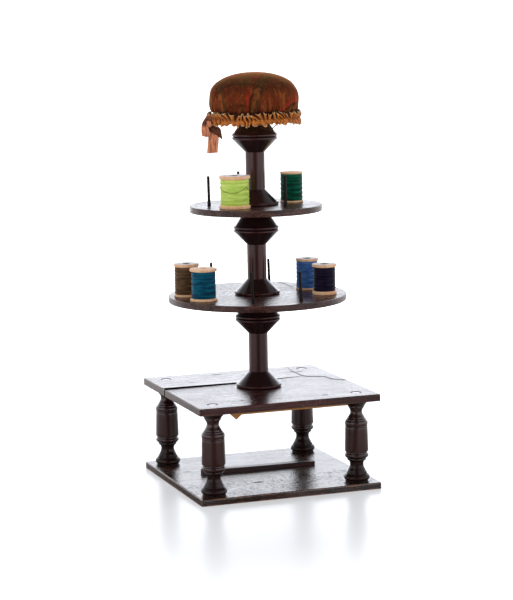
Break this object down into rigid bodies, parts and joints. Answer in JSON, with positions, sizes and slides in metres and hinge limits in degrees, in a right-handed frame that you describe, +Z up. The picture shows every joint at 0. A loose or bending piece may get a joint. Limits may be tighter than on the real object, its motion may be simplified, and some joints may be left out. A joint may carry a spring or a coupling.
{
  "type": "sewing stand",
  "caption": "Table-top sewing stand: boards on turned legs, a turned column with two round tiers of pegs for cotton reels, and a plaid pincushion with a gathered frill",
  "frame": {"origin": "centre of the bottom board's underside", "axes": "+Z up along the column, +X along the front edge to the right, -Y towards the front"},
  "size_m": [0.189, 0.189, 0.4144],
  "materials": {
    "dark_wood": "dark varnished hardwood, glossy",
    "worn_wood": "dark varnished hardwood, worn at the edges",
    "peg_wood": "dark stained, satin",
    "pale_wood": "bare amber pine",
    "reel_wood": "bare turned beech, smooth",
    "plaid_cloth": "rust plaid woollen cloth",
    "gold_ribbon": "crinkled gold ribbon, slight sheen",
    "copper_ribbon": "copper ribbon, satin sheen",
    "loose_thread": "pale grey cotton",
    "thread_olive": "wound cotton",
    "thread_teal": "wound cotton",
    "thread_navy": "wound cotton",
    "thread_blue": "wound cotton",
    "thread_lime": "wound cotton",
    "thread_dark_green": "wound cotton"
  },
  "bodies": {
    "stand": {"bottom_board": "worn_wood", "leg_front_left": "dark_wood", "leg_front_right": "dark_wood", "leg_back_left": "dark_wood", "leg_back_right": "dark_wood", "top_board": "dark_wood", "front_batten": "pale_wood", "loose_batten": "dark_wood", "column_lower": "dark_wood", "column_middle": "dark_wood", "column_upper": "dark_wood", "lower_tier": "dark_wood", "upper_tier": "dark_wood", "lower_peg_olive": "peg_wood", "lower_peg_teal": "peg_wood", "lower_peg_front": "peg_wood", "lower_peg_front_right": "peg_wood", "lower_peg_navy": "peg_wood", "lower_peg_blue": "peg_wood", "lower_peg_back_right": "peg_wood", "lower_peg_back_left": "peg_wood", "upper_peg_left": "peg_wood", "upper_peg_lime": "peg_wood", "upper_peg_front_right": "peg_wood", "upper_peg_dark_green": "peg_wood", "upper_peg_back": "peg_wood", "cushion_board": "pale_wood", "pincushion": "plaid_cloth", "frill": "gold_ribbon", "ribbon_bow": "copper_ribbon", "loose_thread": "loose_thread"},
    "cotton_reel_olive": {"reel_olive": "reel_wood", "thread_olive": "thread_olive"},
    "cotton_reel_teal": {"reel_teal": "reel_wood", "thread_teal": "thread_teal"},
    "cotton_reel_navy": {"reel_navy": "reel_wood", "thread_navy": "thread_navy"},
    "cotton_reel_blue": {"reel_blue": "reel_wood", "thread_blue": "thread_blue"},
    "cotton_reel_lime": {"reel_lime": "reel_wood", "thread_lime": "thread_lime"},
    "cotton_reel_dark_green": {"reel_dark_green": "reel_wood", "thread_dark_green": "thread_dark_green"}
  },
  "joints": [
    {"name": "olive_reel_spin", "type": "hinge", "parent": "stand", "child": "cotton_reel_olive", "pos_m": [-0.07004, 0.01489, 0.191], "axis": [0, 0, 1], "continuous": true},
    {"name": "teal_reel_spin", "type": "hinge", "parent": "stand", "child": "cotton_reel_teal", "pos_m": [-0.06484, -0.0236, 0.191], "axis": [0, 0, 1], "continuous": true},
    {"name": "navy_reel_spin", "type": "hinge", "parent": "stand", "child": "cotton_reel_navy", "pos_m": [0.05991, -0.03321, 0.191], "axis": [0, 0, 1], "continuous": true},
    {"name": "blue_reel_spin", "type": "hinge", "parent": "stand", "child": "cotton_reel_blue", "pos_m": [0.05778, 0.00915, 0.191], "axis": [0, 0, 1], "continuous": true},
    {"name": "lime_reel_spin", "type": "hinge", "parent": "stand", "child": "cotton_reel_lime", "pos_m": [-0.03156, -0.02695, 0.2814], "axis": [0, 0, 1], "continuous": true},
    {"name": "dark_green_reel_spin", "type": "hinge", "parent": "stand", "child": "cotton_reel_dark_green", "pos_m": [0.04172, 0.00811, 0.2814], "axis": [0, 0, 1], "continuous": true}
  ]
}
